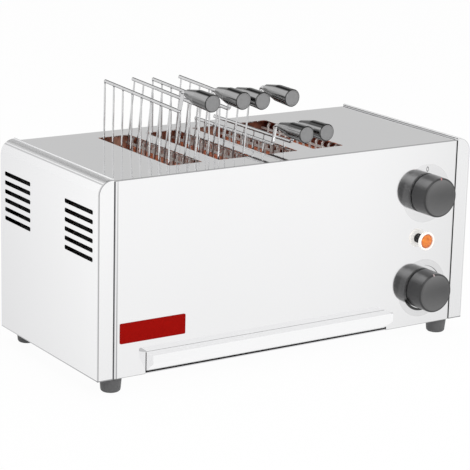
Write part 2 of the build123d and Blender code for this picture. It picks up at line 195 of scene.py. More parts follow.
def capSteel():
    # satin sheet, with painted shade: darker to the foot and rear, and a thin painted dark line at each
    # folded edge
    low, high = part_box("left_end_cap")
    look = {
        "round": 0.0165, "line": 0.0006, "foot": 0.0012, "shoulder": 0.030, "lip": 0.002, "cheek": 0.006,
        "paintedGrey": (12.0, 38.0), "shadeLine": 43.0, "sheet": 0.0004, "flange": 0.0011, "bead": 0.004,
        "hem": 0.0005,
        "lowTone": (0.86, 0.86, 0.865), "highTone": (0.955, 0.955, 0.96), "rearTone": (0.86, 0.86, 0.865),
        "rightTone": (0.91, 0.91, 0.91), "insideTone": (0.10, 0.10, 0.10), "paintedGreyTone": (0.60, 0.60, 0.605),
        "lineTone": (0.20, 0.20, 0.21),
    }
    shade = newShade("sideSteel")
    x, y, z = shade.split(shade.place())
    grain = shade.noise(shade.stretched(shade.place(), (25.0, 25.0, 700.0)), 1.0, 3.0, 0.6)
    cloud = shade.noise(shade.place(), 6.0, 2.0)

    # painted light and shade over the side: lighter from foot to top, darker from front to rear, and darker
    # on the right cap's front face
    rise = shade.clip((z - low.z) / (high.z - low.z - look["shoulder"]))
    back = shade.clip((y - low.y) / (high.y - low.y))
    tone = shade.mix(rise * 0.85 + grain * 0.08 + cloud * 0.07, look["lowTone"], look["highTone"])
    tone = shade.mix(back, tone, shade.stretched(tone, look["rearTone"]))
    face = shade.past(low.y + look["lip"] - y, 0.001)
    right = shade.clip(x * 50.0)
    tone = shade.mix(face * right, tone, shade.stretched(tone, look["rightTone"]))

    # distance out of the rounded section, which also tells the inside of the sheet; the inside is painted
    # dark, as painted shade
    across = shade.maths("MAXIMUM", shade.size(x) + low.x + look["round"], 0.0)
    above = shade.maths("MAXIMUM", z - high.z + look["round"], 0.0)
    outline = (across * across + above * above) ** 0.5 - look["round"] + look["line"]
    inside = shade.past(0.0 - outline - look["sheet"])
    inside = inside * shade.past(y - low.y - look["cheek"], 0.001)
    inside = inside * shade.past(high.y - look["hem"] - y)
    inside = inside * shade.past(shade.size(x) - panelHigh.x - look["flange"])
    tone = shade.mix(inside, tone, look["insideTone"])

    # painted shade lines at the fold, the sill and the shoulder, and a painted grey reflection band on the
    # shoulder; the inner cheek beside the panel is painted the same grey, as shade
    fold = shade.near(outline, look["line"]) * face * (1.0 - right * 0.75)
    sill = shade.near(z - low.z, look["foot"]) * (0.78 - back * 0.45)
    lean = shade.maths("ARCTAN2", across, above) * (180.0 / math.pi)
    first, last = look["paintedGrey"]
    paintedGrey = shade.past(lean - first, 4.0) * shade.past(last - lean, 4.0) * (1.0 - face)
    paintedGrey = paintedGrey * shade.clip(above / 0.002)
    shadeLine = shade.near(lean - look["shadeLine"], 3.0, 3.0) * (1.0 - face)
    cheek = shade.past(panelHigh.x + look["line"] - shade.size(x), 0.0001)
    cheek = cheek * shade.past(low.y + look["cheek"] - y, 0.001)
    cheek = cheek * shade.past(high.z - look["bead"] - z, 0.001)
    paintedGrey = shade.clip(paintedGrey + cheek)
    tone = shade.mix(paintedGrey, tone, look["paintedGreyTone"])
    return shade.surface(
        Base_Color=shade.mix(shade.clip(fold * 0.72 + sill + shadeLine * 0.5), tone, look["lineTone"]),
        Metallic=1.0 - paintedGrey * 0.7,
        Roughness=0.17 + (grain - 0.5) * 0.03 + (cloud - 0.5) * 0.04,
        Normal=shade.bump(grain, 0.012, 0.0002),
    )


def panelSteel():
    # bright sheet, with painted shade on its folded ends, its lower part and its right side, and the dial
    # rings printed on it
    look = {
        "fold": 0.0042, "gap": 0.0014, "shadeLine": 0.0008, "sill": 0.0006, "turned": 0.0008, "middle": 0.03,
        "high": (0.932, 0.932, 0.937), "low": (0.850, 0.850, 0.855), "right": (0.90, 0.90, 0.90),
        "dark": (0.14, 0.14, 0.15), "sillTone": (0.2, 0.2, 0.2), "printTone": (0.25, 0.25, 0.26),
        "turnedTone": (0.22, 0.22, 0.23),
    }
    printed = {
        "discs": {"timer_knob": 0.105, "selector_knob": 0.155}, "disc": 0.0353, "dull": 0.075, "ink": 0.055,
        "arc": 0.0278, "thin": 0.0003, "swell": 0.0054, "tick": 0.0290, "tall": 0.0034, "wide": 0.0020,
        "hole": 0.16,
    }
    tab = {
        "start": (-0.1970, 0.0468), "end": (-0.1905, 0.0438), "wide": 0.0023, "narrow": 0.0009, "rim": 0.0009,
    }
    low, high = panelLow, panelHigh
    shade = newShade("frontSteel")
    x, y, z = shade.split(shade.place())
    cloud = shade.noise(shade.place(), 14.0, 3.0)
    fine = shade.noise(shade.place(), 900.0, 1.0)

    # painted light and shade over the sheet: darker to the bottom and to the right, with painted shade on its
    # folded ends and a painted shade line along its sill
    fall = shade.clip((high.z - z) / (high.z - low.z))
    right = shade.clip((x - look["middle"]) / (high.x - look["middle"]))
    tone = shade.mix(fall * 0.85 + cloud * 0.15, look["high"], look["low"])
    tone = shade.mix(right * right, tone, shade.stretched(tone, look["right"]))
    edge = shade.size(x) - high.x + look["fold"]
    left = shade.clip(0.0 - x * 50.0)
    gap = shade.past(edge - look["fold"] + look["gap"], 0.0004)
    shadeLine = shade.near(edge - look["shadeLine"], look["shadeLine"], 0.0005) * left * (0.35 + fall * 0.3)
    tone = shade.mix(shade.clip(shadeLine + gap * (0.42 + left * 0.43)), tone, look["dark"])
    tone = shade.mix(shade.near(z - low.z, look["sill"]) * 0.6, tone, look["sillTone"])

    # a disc round each knob, a zero over the timer and a crescent round the selector
    ink, dull = 0.0, 0.0
    for knob, depth in printed["discs"].items():
        centre = middleOf(*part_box(knob))
        across, above = x - centre[0], z - centre[2]
        reach = (across * across + above * above) ** 0.5
        disc = shade.past(printed["disc"] - reach, 0.0005)
        ink = disc * depth + ink
        dull = disc * printed["dull"] + dull
        if knob == "timer_knob":
            ring = (across / printed["wide"]) ** 2.0 + ((above - printed["tick"]) / printed["tall"]) ** 2.0
            zero = shade.clip((1.0 - ring) * 4.0) * shade.clip((ring - printed["hole"]) * 4.0)
    turn = shade.maths("FRACT", shade.maths("ARCTAN2", across, above) / math.tau)
    inner = printed["arc"] - printed["thin"] - turn * printed["swell"]
    band = shade.past(reach - inner) * shade.past(printed["arc"] - reach)
    crescent = band * shade.clip((turn - 0.015) * 200.0) * shade.clip((0.69 - turn) * 60.0)
    tone = shade.mix(ink, tone, look["printTone"])
    tone = shade.mix(shade.clip(zero * 0.78 + crescent), tone, (printed["ink"],) * 3)

    # a dark teardrop mark beside the tray's notch, darker along its rim, which narrows from its start to its
    # end
    (left, top), (end, foot) = tab["start"], tab["end"]
    run, drop = end - left, foot - top
    part = shade.clip(((x - left) * run + (z - top) * drop) / (run * run + drop * drop))
    across, above = x - left - part * run, z - top - part * drop
    reach = (across * across + above * above) ** 0.5 + part * (tab["wide"] - tab["narrow"])
    rim = shade.past(reach - tab["wide"] + tab["rim"], 0.0004)
    darkTeardrop = shade.past(tab["wide"] - reach, 0.0005) * (0.40 + rim * 0.16)
    tone = shade.mix(darkTeardrop, tone, look["dark"])

    # the turned-back edges behind the front face are painted darker, as shade
    front = shade.past(low.y + look["turned"] - y, 0.0004)
    return shade.surface(
        Base_Color=shade.mix(front, shade.mix(0.6, tone, look["turnedTone"]), tone),
        Metallic=1.0 - dull,
        Roughness=0.085 + (cloud - 0.5) * 0.03 + (fine - 0.5) * 0.02,
        Normal=shade.bump(shade.noise(shade.place(), 5.0, 1.0), 0.02, 0.002),
    )


def mirrorSteel(name, tone, roughness, edge=None):
    # bright sheet, with a dark line along its front edge where that is given
    look = {"ripple": 0.02, "line": 0.0017, "dark": 0.62, "lineTone": (0.10, 0.10, 0.105)}
    shade = newShade(name)
    place = shade.place()
    cloud = shade.noise(place, 14.0, 3.0)
    fine = shade.noise(place, 900.0, 1.0)
    colour = shade.mix(cloud, [c * 0.985 for c in tone], [min(1.0, c * 1.01) for c in tone])
    if edge is not None:
        front = shade.past(edge + look["line"] - shade.split(place)[1], 0.0003)
        colour = shade.mix(front * look["dark"], colour, look["lineTone"])
    return shade.surface(
        Base_Color=colour,
        Metallic=1.0,
        Roughness=roughness + (cloud - 0.5) * 0.03 + (fine - 0.5) * 0.02,
        Normal=shade.bump(shade.noise(place, 5.0, 1.0), look["ripple"], 0.002),
    )


def chamberSteel():
    # sheet that the heat has stained from pale to a dark copper
    stains = [(0.34, (0.95, 0.62, 0.48)), (0.46, (0.55, 0.25, 0.17)), (0.58, (0.17, 0.07, 0.055))]
    shade = newShade("chamberSteel")
    place = shade.place()
    stain = shade.noise(place, 22.0, 4.0, 0.62)
    spangle = shade.node("ShaderNodeTexVoronoi", {"feature": "F1"}, {"Vector": place, "Scale": 160.0})
    return shade.surface(
        Base_Color=shade.node("ShaderNodeValToRGB", {"stops": stains}, {"Fac": stain}),
        Metallic=0.85,
        Roughness=0.34 + stain * 0.2 + spangle * 0.1,
        Normal=shade.bump(spangle, 0.15, 0.0003),
    )


def guardSteel():
    # flared tops painted pale as painted light, and below them, from a little way under the top plate,
    # copper-coloured wire painted darker as shade
    look = {"flare": 0.0058, "fade": 0.0006, "metal": 0.6}
    shade = newShade("guardSteel")
    place = shade.place()
    drawn = shade.noise(place, 300.0, 2.0)
    flare = shade.clip((shade.split(place)[2] - plateLow.z + look["flare"]) / look["fade"])
    pale = shade.mix(drawn, (0.95, 0.91, 0.88), (0.99, 0.97, 0.95))
    deep = shade.mix(drawn, (0.31, 0.12, 0.075), (0.64, 0.31, 0.21))
    return shade.surface(
        Base_Color=shade.mix(flare, deep, pale),
        Metallic=look["metal"] - flare * look["metal"],
        Roughness=0.30 + drawn * 0.15,
        Normal=shade.bump(drawn, 0.08, 0.0002),
    )


def wireSteel(name, up=None):
    # bright drawn wire; a tong's rods get painted shade along their crest and underside
    rod = {
        "above": 0.0003, "crest": 0.00045, "under": 0.0026, "thick": 0.0041, "rise": 0.023,
        "dull": (0.04, 0.04, 0.045),
    }
    shade = newShade(name)
    place = shade.place()
    drawn = shade.noise(place, 60.0, 2.0)
    colour = shade.mix(drawn, (0.58, 0.58, 0.59), (0.70, 0.70, 0.70))
    if up:
        points = [vertex.co for vertex in nodes[name].data.vertices]
        middle = (min(point.y for point in points) + max(point.y for point in points)) / 2
        top = max(point.dot(up) for point in points if point.y > middle)
        height = shade.node("ShaderNodeVectorMath", {"operation": "DOT_PRODUCT"}, {0: place, 1: up}, 1)
        # painted shade along the crest and the underside of each rod
        dull = 0.0
        for rise in (0.0, rod["rise"]):
            drop = top + rise - height
            crest = shade.past(rod["crest"] - drop) * shade.past(drop + rod["above"], 0.0001)
            under = shade.past(drop - rod["under"]) * shade.past(rod["thick"] - drop, 0.0001)
            dull = crest * 0.75 + under * 0.85 + dull
        colour = shade.mix(shade.clip(dull), colour, rod["dull"])
    return shade.surface(
        Base_Color=colour,
        Metallic=1.0,
        Roughness=0.08 + drawn * 0.06,
        Normal=shade.bump(drawn, 0.03, 0.0002),
    )


def grainedPlastic(name, dark, light, roughness):
    shade = newShade(name)
    place = shade.place()
    grain = shade.noise(place, 420.0, 3.0, 0.6)
    cloud = shade.noise(place, 30.0, 2.0)
    return shade.surface(
        Base_Color=shade.mix(cloud * 0.6 + grain * 0.4, dark, light),
        Roughness=roughness + (cloud - 0.5) * 0.08 + (grain - 0.5) * 0.06,
        Normal=shade.bump(grain, 0.12, 0.0002),
    )


def knobPlastic(knob):
    # near-black side, and a dished face that catches light above and below its middle
    low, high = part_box(knob)
    look = {
        "rim": 0.0020, "deep": 0.0036, "upper": 1.9, "lower": 0.9, "bright": (0.19, 0.19, 0.19),
        "side": ((0.016, 0.016, 0.017), (0.034, 0.034, 0.035)),
        "dish": ((0.060, 0.060, 0.061), (0.078, 0.078, 0.079)),
    }
    shade = newShade(knob + "_plastic")
    x, y, z = shade.split(shade.place())
    grain = shade.noise(shade.place(), 420.0, 3.0, 0.6)
    cloud = shade.noise(shade.place(), 30.0, 2.0)
    speckle = cloud * 0.6 + grain * 0.4
    radius = (high.x - low.x) / 2
    across = (x - (low.x + high.x) / 2) / radius
    above = (z - (low.z + high.z) / 2) / radius
    reach = (across * across + above * above) ** 0.5
    face = shade.past(low.y + look["deep"] - y, 0.0006)
    face = face * shade.clip((1.0 - look["rim"] / radius - reach) * 40.0)
    upper = shade.clip(above) ** 2.0 * look["upper"]
    lower = shade.clip(0.15 - above) ** 1.5 * look["lower"]
    dish = shade.mix(speckle, *look["dish"])
    dish = shade.mix(shade.clip((upper + lower) * 0.5), dish, look["bright"])
    return shade.surface(
        Base_Color=shade.mix(face, shade.mix(speckle, *look["side"]), dish),
        Roughness=0.31 + (cloud - 0.5) * 0.08 + (grain - 0.5) * 0.06,
        Normal=shade.bump(grain, 0.12, 0.0002),
    )


def handlePlastic(node, lean, belly, crown):
    # glossy dark grip: black seam round the end disc, and painted reflections: a bright band along each
    # flank, a dark crown and a dark belly
    look = {
        "seam": 0.0008, "dish": 0.0010, "end": 0.0012, "black": (0.03, 0.03, 0.03),
        "side": ((0.34, 0.34, 0.342), (0.42, 0.42, 0.422)), "crown": (0.085, 0.085, 0.085),
        "belly": (0.17, 0.17, 0.17), "face": ((0.235, 0.235, 0.237), (0.275, 0.275, 0.277)),
    }
    points = [vertex.co for vertex in nodes[node].data.vertices]
    ahead = Vector((0.0, -math.cos(lean), -math.sin(lean)))
    tip = max(point.dot(ahead) for point in points)
    rim = [point for point in points if tip - point.dot(ahead) < 0.0001]
    centre = [(min(p[i] for p in rim) + max(p[i] for p in rim)) / 2 for i in range(3)]
    radius = (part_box(node)[1].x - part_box(node)[0].x) / 2
    shade = newShade(node + "_plastic")
    place = shade.node("ShaderNodeVectorMath", {"operation": "SUBTRACT"}, {0: shade.place(), 1: centre})
    links = {"Vector": place, "Angle": -lean}
    place = shade.node("ShaderNodeVectorRotate", {"rotation_type": "X_AXIS"}, links)
    across, back, above = shade.split(place)
    reach = (across * across + above * above) ** 0.5
    grain = shade.noise(place, 420.0, 3.0, 0.6)
    streak = shade.noise(shade.stretched(place, (260.0, 9.0, 260.0)), 1.0, 2.0)
    # painted reflections by the angle round the grip: dark crown and belly, bright flanks
    climb = shade.maths("ARCTAN2", above, shade.size(across)) + (streak - 0.5) * 0.5
    onCrown = shade.mix(streak, look["black"], look["crown"])
    onBelly = shade.mix(shade.clip(streak * 3.0 - 1.0), look["black"], look["belly"])
    side = shade.mix(shade.past(climb - crown, 0.14), shade.mix(streak, *look["side"]), onCrown)
    side = shade.mix(shade.past(belly - climb, 0.16), side, onBelly)
    inside = shade.past(radius - look["dish"] - reach, 0.0003)
    disc = inside * shade.past(look["end"] - back)
    seam = shade.past(look["seam"] - back) * (1.0 - inside)
    face = shade.mix(grain, *look["face"])
    return shade.surface(
        Base_Color=shade.mix(seam * 0.8, shade.mix(disc, side, face), look["black"]),
        Metallic=1.0 - disc * 0.6,
        Roughness=0.13 + disc * 0.22 + (grain - 0.5) * 0.06,
        Normal=shade.bump(grain, 0.10, 0.0002),
    )


def shadedSteel():
    # sheet round the heat, painted nearly black as shade where it is shut off from the daylight
    look = {
        "skin": 0.0010, "innerShade": ((0.12, 0.12, 0.122), (0.30, 0.30, 0.30)),
        "outside": ((0.68, 0.68, 0.69), (0.72, 0.72, 0.73)),
    }
    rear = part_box("back_panel")[1].y
    shade = newShade("shadedSteel")
    place = shade.place()
    # painted shade inside, mottled
    innerShade = shade.noise(place, 30.0, 3.0, 0.6)
    grain = shade.noise(shade.stretched(place, (900.0, 30.0, 30.0)), 1.0, 3.0, 0.6)
    outside = shade.past(shade.split(place)[1] - rear + look["skin"])
    return shade.surface(
        Base_Color=shade.mix(outside, shade.mix(innerShade, *look["innerShade"]), shade.mix(grain, *look["outside"])),
        Metallic=0.5 + outside * 0.5,
        Roughness=0.38 + (innerShade - 0.5) * 0.06,
        Normal=shade.bump(grain, 0.05, 0.0002),
    )


def quartzGlass():
    # hazy tube, tinted a reddish orange
    shade = newShade("quartzGlass")
    haze = shade.noise(shade.stretched(shade.place(), (90.0, 12.0, 90.0)), 1.0, 3.0)
    return shade.surface(
        Base_Color=shade.mix(haze, (0.50, 0.15, 0.09), (0.80, 0.38, 0.25)),
        Roughness=0.06 + haze * 0.10,
        Alpha=0.30 + haze * 0.30,
        Coat_Weight=1.0,
    )


def elementWire():
    # wire that glows a little
    shade = newShade("elementWire")
    scale = shade.noise(shade.place(), 300.0, 3.0)
    colour = shade.mix(scale, (0.70, 0.20, 0.09), (0.95, 0.42, 0.20))
    return shade.surface(
        Base_Color=colour,
        Metallic=0.7,
        Roughness=0.35 + scale * 0.2,
        Emission_Color=colour,
        Emission_Strength=0.55,
    )


def cupPlastic():
    # milky plastic that glows as if the lamp lit it from inside; its rear glows more, a painted light that
    # brightens its reflection in the panel
    middle = middleOf(*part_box("lamp_ring"))
    shade = newShade("cupPlastic")
    grain = shade.noise(shade.place(), 300.0, 2.0)
    rear = shade.past(shade.split(shade.place())[1] - middle[1], 0.001)
    return shade.surface(
        Base_Color=shade.mix(grain, (0.86, 0.82, 0.76), (0.93, 0.90, 0.85)),
        Roughness=0.26 + grain * 0.08,
        Emission_Color=shade.mix(rear, (0.28, 0.26, 0.24), (0.46, 0.46, 0.45)),
        Emission_Strength=1.0,
    )


def lampGlass():
    # mottled orange, with a darker rim
    low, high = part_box("lamp_lens")
    look = {"rim": 0.80, "fade": 0.08, "dark": (0.42, 0.10, 0.03)}
    shade = newShade("lampGlass")
    place = shade.place()
    parts = shade.split(place)
    across, above = parts[0] - (low.x + high.x) / 2, parts[2] - (low.z + high.z) / 2
    reach = (across * across + above * above) ** 0.5 / ((high.x - low.x) / 2)
    cloud = shade.noise(place, 380.0, 2.0)
    colour = shade.mix(shade.clip(cloud * 2.4 - 0.7), (0.58, 0.115, 0.01), (0.92, 0.28, 0.03))
    colour = shade.mix(shade.clip((reach - look["rim"]) / look["fade"]), colour, look["dark"])
    return shade.surface(
        Base_Color=colour,
        Roughness=0.22 + cloud * 0.12,
        Coat_Weight=0.15,
        Emission_Color=colour,
        Emission_Strength=0.06,
    )


print("finishes")
finishes = {
    "side": capSteel(),
    "front": panelSteel(),
    "top": mirrorSteel("topSteel", (0.90, 0.90, 0.905), 0.05, plateLow.y),
    "tray": mirrorSteel("traySteel", (0.95, 0.95, 0.955), 0.16),
    "shaded": shadedSteel(),
    "pan": satinSteel("panSteel", (0.70, 0.70, 0.71), (900.0, 30.0, 30.0), 0.38),
    "chamber": chamberSteel(),
    "wire": wireSteel("wireSteel"),
    "guard": guardSteel(),
    "timer": knobPlastic("timer_knob"),
    "selector": knobPlastic("selector_knob"),
    "foot": grainedPlastic("footRubber", (0.085, 0.085, 0.087), (0.135, 0.135, 0.137), 0.55),
    "quartz": quartzGlass(),
    "element": elementWire(),
    "ceramic": grainedPlastic("whiteCeramic", (0.78, 0.74, 0.68), (0.90, 0.87, 0.82), 0.62),
    "lens": lampGlass(),
    "pale": cupPlastic(),
    "black": grainedPlastic("blackPlastic", (0.02, 0.02, 0.02), (0.045, 0.045, 0.045), 0.35),
    "screw": satinSteel("screwSteel", (0.62, 0.62, 0.63), (300.0, 300.0, 300.0), 0.30),
}

wearing = {
    "side": ["left_end_cap", "right_end_cap"],
    "front": ["front_panel"],
    "top": ["top_plate"],
    "tray": ["crumb_tray"],
    "pan": ["bottom_pan", "tray_rails"],
    "shaded": ["back_panel", "left_reflector"],
    "chamber": ["front_element_plate", "rear_element_plate", "control_partition"],
    "wire": ["tong_rest_bars"],
    "guard": [f"slot_guards_{n}" for n in range(1, 5)],
    "foot": ["foot_front_left", "foot_rear_left", "foot_front_right", "foot_rear_right"],
    "quartz": [f"quartz_tubes_{n}" for n in range(1, 6)],
    "element": ["heating_coils"],
    "ceramic": ["ceramic_caps"],
    "timer": ["timer_knob"],
    "selector": ["selector_knob"],
    "screw": ["foot_screws", "back_screws", "timer_shaft", "selector_shaft"],
    "lens": ["lamp_lens"],
    "pale": ["lamp_ring"],
    "black": ["lamp_body", "timer_body", "selector_body", "terminal_block", "cable_gland", "gland_nut"],
}
for n in range(1, 4):
    wearing["wire"].append(f"tong_{n}_clips")
    axis = next(joint for joint in frame["joints"] if joint["name"] == f"tong_{n}_lift")["axis"]
    for side in ("left", "right"):
        handle, grid = f"tong_{n}_{side}_handle", f"tong_{n}_{side}_grid"
        belly, crown = (0.28, 0.56) if n == 3 else (0.40, 0.86)
        finishes[handle] = handlePlastic(handle, math.atan2(-axis[1], axis[2]), belly, crown)
        finishes[grid] = wireSteel(grid, Vector(axis).normalized())
        wearing[handle], wearing[grid] = [handle], [grid]
for finish, names in wearing.items():
    for name in names:
        data = nodes[name].data
        data.materials.clear()
        data.materials.append(finishes[finish])
bare = sorted(set(nodes) - {name for names in wearing.values() for name in names})
print("nodes without a finish:", bare)


# Pieces of the scene

def deselect():
    bpy.ops.object.select_all(action="DESELECT")


def keepOnly(piece):
    deselect()
    piece.select_set(True)
    bpy.context.view_layer.objects.active = piece


def settle(piece):
    # place, turn and size go into the mesh, so that the object sits at the origin
    keepOnly(piece)
    bpy.ops.object.transform_apply(location=True, rotation=True, scale=True)


def finishPiece(piece, name, finish, body):
    # its name, its material and the body that it rides on
    piece.name = name
    piece.data.name = name
    piece.data.materials.clear()
    piece.data.materials.append(finish)
    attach(piece, body)
    return piece


def clearPick(piece, kind):
    # nothing selected in edit mode, and then back in object mode
    keepOnly(piece)
    bpy.ops.object.mode_set(mode="EDIT")
    bpy.ops.mesh.select_mode(type=kind)
    bpy.ops.mesh.select_all(action="DESELECT")
    bpy.ops.object.mode_set(mode="OBJECT")


def pickEdges(piece, wanted):
    # edit mode on, with only the edges selected that the test takes
    clearPick(piece, "EDGE")
    points = piece.data.vertices
    for edge in piece.data.edges:
        edge.select = wanted(points[edge.vertices[0]].co, points[edge.vertices[1]].co)
    bpy.ops.object.mode_set(mode="EDIT")


def pickFaces(piece, wanted):
    # the same for faces, by their middle and their normal
    clearPick(piece, "FACE")
    for face in piece.data.polygons:
        face.select = wanted(face.center, face.normal)
    bpy.ops.object.mode_set(mode="EDIT")


def leaveEdit():
    bpy.ops.object.mode_set(mode="OBJECT")


def smooth(piece, angle=35.0):
    keepOnly(piece)
    bpy.ops.object.shade_smooth_by_angle(angle=math.radians(angle))


def block(low, high):
    # a box between two corners, its place in its mesh
    deselect()
    bpy.ops.mesh.primitive_cube_add(size=1.0, location=middleOf(low, high))
    piece = bpy.context.object
    piece.scale = [b - a for a, b in zip(low, high)]
    settle(piece)
    return piece


def roundBar(sides, radius, length, place, ends="NGON"):
    # a cylinder along Y, its place in its mesh
    deselect()
    bpy.ops.mesh.primitive_cylinder_add(
        vertices=sides, radius=radius, depth=length, end_fill_type=ends,
        location=place, rotation=(math.radians(90.0), 0.0, 0.0),
    )
    piece = bpy.context.object
    settle(piece)
    return piece


def redPaint():
    shade = newShade("redPlate")
    place = shade.place()
    cloud = shade.noise(place, 60.0, 3.0)
    return shade.surface(
        Base_Color=shade.mix(cloud, (0.290, 0.002, 0.001), (0.340, 0.004, 0.002)),
        Roughness=0.55 + cloud * 0.12,
        Specular_IOR_Level=0.04,
        Normal=shade.bump(shade.noise(place, 700.0), 0.05, 0.0001),
    )


def makeBadge():
    # a plain plate with a raised rim
    badge = {
        "left": -0.2230, "right": -0.1410, "low": 0.0568, "high": 0.0795,
        "thick": 0.0008, "corner": 0.0012, "rim": 0.0005, "sunk": 0.00015,
    }
    plate = block(
        (badge["left"], panelLow.y - badge["thick"], badge["low"]),
        (badge["right"], panelLow.y, badge["high"]),
    )
    pickEdges(plate, lambda a, b: abs(a.y - b.y) > badge["thick"] / 2)
    bpy.ops.mesh.bevel(offset=badge["corner"], segments=4)
    leaveEdit()
    pickFaces(plate, lambda centre, normal: normal.y < -0.9)
    bpy.ops.mesh.inset(thickness=badge["rim"], depth=0.0)
    bpy.ops.mesh.inset(thickness=badge["sunk"], depth=-badge["sunk"])
    leaveEdit()
    smooth(plate, 30.0)
    finishPiece(plate, "badge_plate", redPaint(), "case")


def pointerPaint(kind, middle, turn):
    # a red line along the middle of a pale mark
    half = 0.0004
    shade = newShade(kind + "_pointerPaint")
    place = shade.node("ShaderNodeVectorMath", {"operation": "SUBTRACT"}, {0: shade.place(), 1: middle})
    links = {"Vector": place, "Angle": -math.radians(turn)}
    across = shade.split(shade.node("ShaderNodeVectorRotate", {"rotation_type": "Y_AXIS"}, links))[0]
    cloud = shade.noise(shade.place(), 500.0)
    red = shade.mix(cloud, (0.50, 0.02, 0.03), (0.66, 0.06, 0.07))
    return shade.surface(
        Base_Color=shade.mix(shade.near(across, half), (0.62, 0.50, 0.50), red),
        Roughness=0.35 + cloud * 0.1,
    )


def makePointers():
    # a slim mark over each knob's front rim, turned to where the dial stands
    pointer = {
        "wide": 0.0013, "back": 0.0042, "down": 0.0030, "proud": 0.0003, "lower": 0.0003, "round": 0.0011,
        "turns": {"timer_knob": 0.0, "selector_knob": 9.0},
    }
    for knob, turn in pointer["turns"].items():
        kind = knob.split("_")[0]
        low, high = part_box(knob)
        middle = middleOf(low, high)
        half = pointer["wide"] / 2
        tab = block(
            (middle[0] - half, low.y - pointer["proud"], high.z - pointer["down"]),
            (middle[0] + half, low.y + pointer["back"], high.z - pointer["lower"]),
        )
        pickEdges(
            tab,
            lambda a, b: min(a.z, b.z) > middle[2] and max(a.y, b.y) < low.y and abs(a.z - b.z) < 0.0001,
        )
        bpy.ops.mesh.bevel(offset=pointer["round"], segments=4)
        leaveEdit()
        smooth(tab)
        keepOnly(tab)
        bpy.ops.transform.rotate(value=math.radians(turn), orient_axis="Y", center_override=middle)
        settle(tab)
        finishPiece(tab, kind + "_pointer", pointerPaint(kind, middle, turn), kind + "_dial")


def makeLens():
    # a cushion of facets that rises from the cup
    low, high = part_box("lamp_lens")
    lens = {
        "sides": 12, "edge": 0.0004, "rise": 0.0017,
        "rings": ((0.0016, 0.0007), (0.0026, 0.0007), (0.0022, 0.0003)),
    }
    middle = middleOf(low, high)
    place = (middle[0], middle[1] + lens["rise"] / 2, middle[2])
    dome = roundBar(lens["sides"], (high.x - low.x) / 2, high.y - low.y - lens["rise"], place)
    pickFaces(dome, lambda centre, normal: normal.y < -0.9)
    for inwards, out in lens["rings"]:
        bpy.ops.mesh.inset(thickness=inwards, depth=out)
    leaveEdit()
    pickEdges(dome, lambda a, b: max(a.y, b.y) < middle[1] and abs(a.y - b.y) < 0.00005)
    bpy.ops.mesh.bevel(offset=lens["edge"], segments=1)
    leaveEdit()
    finishPiece(dome, "lamp_dome", finishes["lens"], "case")
    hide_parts("lamp_lens")


def makeSeam():
    # the panel's folded edge, which nearly closes the groove beside the right cap
    seam = {"left": 0.0030, "right": 0.0002, "set": 0.0002, "deep": 0.0016, "round": 0.0003, "top": 0.0012}
    strip = block(
        (panelHigh.x - seam["left"], panelLow.y + seam["set"], panelLow.z),
        (panelHigh.x - seam["right"], panelLow.y + seam["deep"], plateHigh.z - seam["top"]),
    )
    pickEdges(strip, lambda a, b: abs(a.z - b.z) > 0.1 and max(a.y, b.y) < panelLow.y + seam["deep"] / 2)
    bpy.ops.mesh.bevel(offset=seam["round"], segments=3)
    leaveEdit()
    smooth(strip, 40.0)
    finishPiece(strip, "panel_seam", finishes["front"], "case")


def makeSleeve():
    # the ribbed barrel between the panel and the lamp's cup
    low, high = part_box("lamp_ring")
    sleeve = {"radius": 0.0056, "rib": 0.0009, "ribs": 3, "sides": 32, "root": 0.0002}
    middle = middleOf(low, high)
    length = panelLow.y - high.y + 2 * sleeve["root"]
    place = (middle[0], panelLow.y + sleeve["root"] - length / 2, middle[2])
    barrel = roundBar(sleeve["sides"], sleeve["radius"], length, place, "NOTHING")
    pickEdges(barrel, lambda a, b: abs(a.y - b.y) > length / 2)
    bpy.ops.mesh.subdivide(number_cuts=sleeve["ribs"] * 2 - 1)
    leaveEdit()
    step = length / (sleeve["ribs"] * 2)
    pickFaces(barrel, lambda centre, normal: int((panelLow.y - centre.y) / step) % 2 == 0)
    bpy.ops.mesh.extrude_region_shrink_fatten(TRANSFORM_OT_shrink_fatten={"value": -sleeve["rib"]})
    leaveEdit()
    smooth(barrel, 30.0)
    finishPiece(barrel, "lamp_sleeve", finishes["black"], "case")


def makeCapRims():
    # the folded bead along the inner top edge of each cap
    rim = {"wide": 0.0018, "high": 0.0011, "front": 0.0004, "sunk": 0.0008, "round": 0.46}
    for cap, side in (("left_end_cap", 1), ("right_end_cap", -1)):
        low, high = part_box(cap)
        inner = high.x if side > 0 else low.x
        outer = inner - side * rim["wide"]
        bead = block(
            (min(inner, outer), low.y + rim["front"], high.z - rim["sunk"]),
            (max(inner, outer), high.y - rim["front"], high.z + rim["high"]),
        )
        pickEdges(bead, lambda a, b: min(a.z, b.z) > high.z and abs(a.y - b.y) > 0.01)
        bpy.ops.mesh.bevel(offset=rim["wide"] * rim["round"], segments=6)
        leaveEdit()
        smooth(bead, 40.0)
        finishPiece(bead, cap.replace("end_cap", "cap_rim"), finishes["side"], "case")


